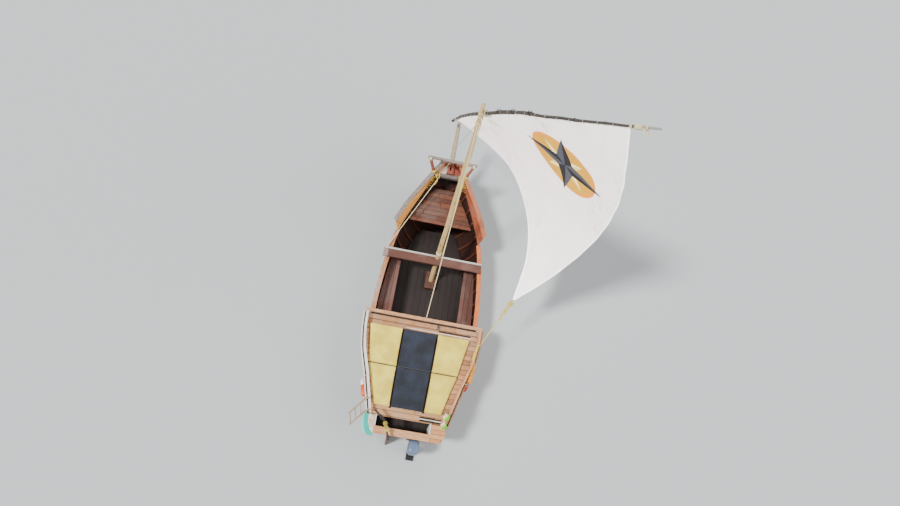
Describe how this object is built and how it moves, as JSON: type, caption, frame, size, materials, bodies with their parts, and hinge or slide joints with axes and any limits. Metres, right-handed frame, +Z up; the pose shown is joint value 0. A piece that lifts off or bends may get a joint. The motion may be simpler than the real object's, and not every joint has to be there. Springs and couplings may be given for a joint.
{
  "type": "open wooden dhow sailing boat",
  "caption": "Open wooden dhow with a raised aft deck, raked mast, lateen yard and sail, bowsprit, rudder and outboard motor.",
  "frame": {"origin": "on the waterline, amidships, on the centre plane of the hull", "axes": "+X towards the bow, +Y to port, +Z up"},
  "size_m": [10.1839, 5.3865, 10.8071],
  "materials": {
    "hull_paint": "weathered pale paint over planks",
    "keel_paint": "worn bottom paint",
    "varnished_wood": "orange-brown oiled hardwood",
    "weathered_wood": "sun-bleached plank",
    "dark_wood": "dark oiled boards",
    "bench_wood": "brown planks",
    "red_brown_paint": "red-brown paint, worn",
    "grey_wood": "silvered bare timber",
    "spar_wood": "pale bare pole, checked",
    "deck_wood": "brown deck planks",
    "quarter_wood": "tan planks",
    "rail_paint": "pale worn paint",
    "turquoise_paint": "turquoise paint",
    "yard_wood": "dark round pole",
    "rope": "laid fibre rope",
    "sailcloth": "plain woven cotton",
    "navy_cloth": "woven cover",
    "cream_cloth": "woven cover",
    "black_paint": "black paint",
    "iron": "galvanised, dull",
    "motor_shell": "satin moulded shell",
    "motor_metal": "satin paint",
    "ladder_wood": "bare wood",
    "orange_fender": "soft vinyl",
    "yellow_fender": "soft vinyl",
    "red_fender": "soft vinyl"
  },
  "bodies": {
    "root": {"hull_shell": "hull_paint", "transom": "hull_paint", "keel_and_stem": "keel_paint", "gunwale_port": "varnished_wood", "gunwale_starboard": "varnished_wood", "bulwark_port": "varnished_wood", "bulwark_starboard": "varnished_wood", "bulwark_cap_port": "weathered_wood", "bulwark_cap_starboard": "weathered_wood", "floor_boards": "dark_wood", "mast_step": "dark_wood", "side_bench_port": "bench_wood", "side_bench_starboard": "bench_wood", "foredeck": "bench_wood", "breasthook": "red_brown_paint", "mast_thwart": "grey_wood", "mast": "spar_wood", "aft_deck": "deck_wood", "deck_beam_fore": "spar_wood", "well_side_port": "rail_paint", "well_side_starboard": "rail_paint", "stern_well_floor": "dark_wood", "quarter_deck_port": "turquoise_paint", "quarter_deck_starboard": "quarter_wood", "transom_cap": "quarter_wood", "side_rail_port": "rail_paint", "side_rail_starboard": "rail_paint", "bow_beam": "grey_wood", "bowsprit": "spar_wood", "gallows_post_port": "red_brown_paint", "gallows_post_starboard": "red_brown_paint", "gallows_bar": "grey_wood", "mast_strop": "rope", "backstay": "rope", "forestay": "rope", "rudder_hanger_1": "iron", "rudder_hanger_2": "iron", "motor_pad": "bench_wood", "motor_clamp": "motor_metal", "boarding_ladder": "ladder_wood", "fender_port": "orange_fender", "fender_starboard_fore": "yellow_fender", "fender_starboard_aft": "red_fender", "pad_port_fore": "cream_cloth", "pad_starboard_fore": "cream_cloth", "pad_middle_fore": "navy_cloth", "pad_port_aft": "cream_cloth", "pad_starboard_aft": "cream_cloth", "pad_middle_aft": "navy_cloth"},
    "sail_rig": {"yard": "yard_wood", "yard_collar": "rope", "sail": "sailcloth"},
    "rudder_blade": {"rudder": "keel_paint", "tiller": "black_paint"},
    "outboard_motor": {"motor_cowl": "motor_shell", "motor_leg": "motor_metal"},
    "propeller_wheel": {"propeller": "motor_metal"}
  },
  "joints": [
    {"name": "yard_swing", "type": "hinge", "parent": "root", "child": "sail_rig", "pos_m": [2.866, -0.406, 5.958], "axis": [-0.5463, -0.1507, 0.8239], "range_deg": [-28, 25]},
    {"name": "rudder_turn", "type": "hinge", "parent": "root", "child": "rudder_blade", "pos_m": [-4.18198, 0.44, 0], "axis": [-0.2179, 0, 0.976], "range_deg": [-35, 35]},
    {"name": "outboard_steer", "type": "hinge", "parent": "root", "child": "outboard_motor", "pos_m": [-4.40027, -0.29, 0.5], "axis": [0, 0, 1], "range_deg": [-35, 35]},
    {"name": "propeller_spin", "type": "hinge", "parent": "outboard_motor", "child": "propeller_wheel", "pos_m": [-4.74, -0.29, -0.205], "axis": [1, 0, 0], "continuous": true}
  ]
}
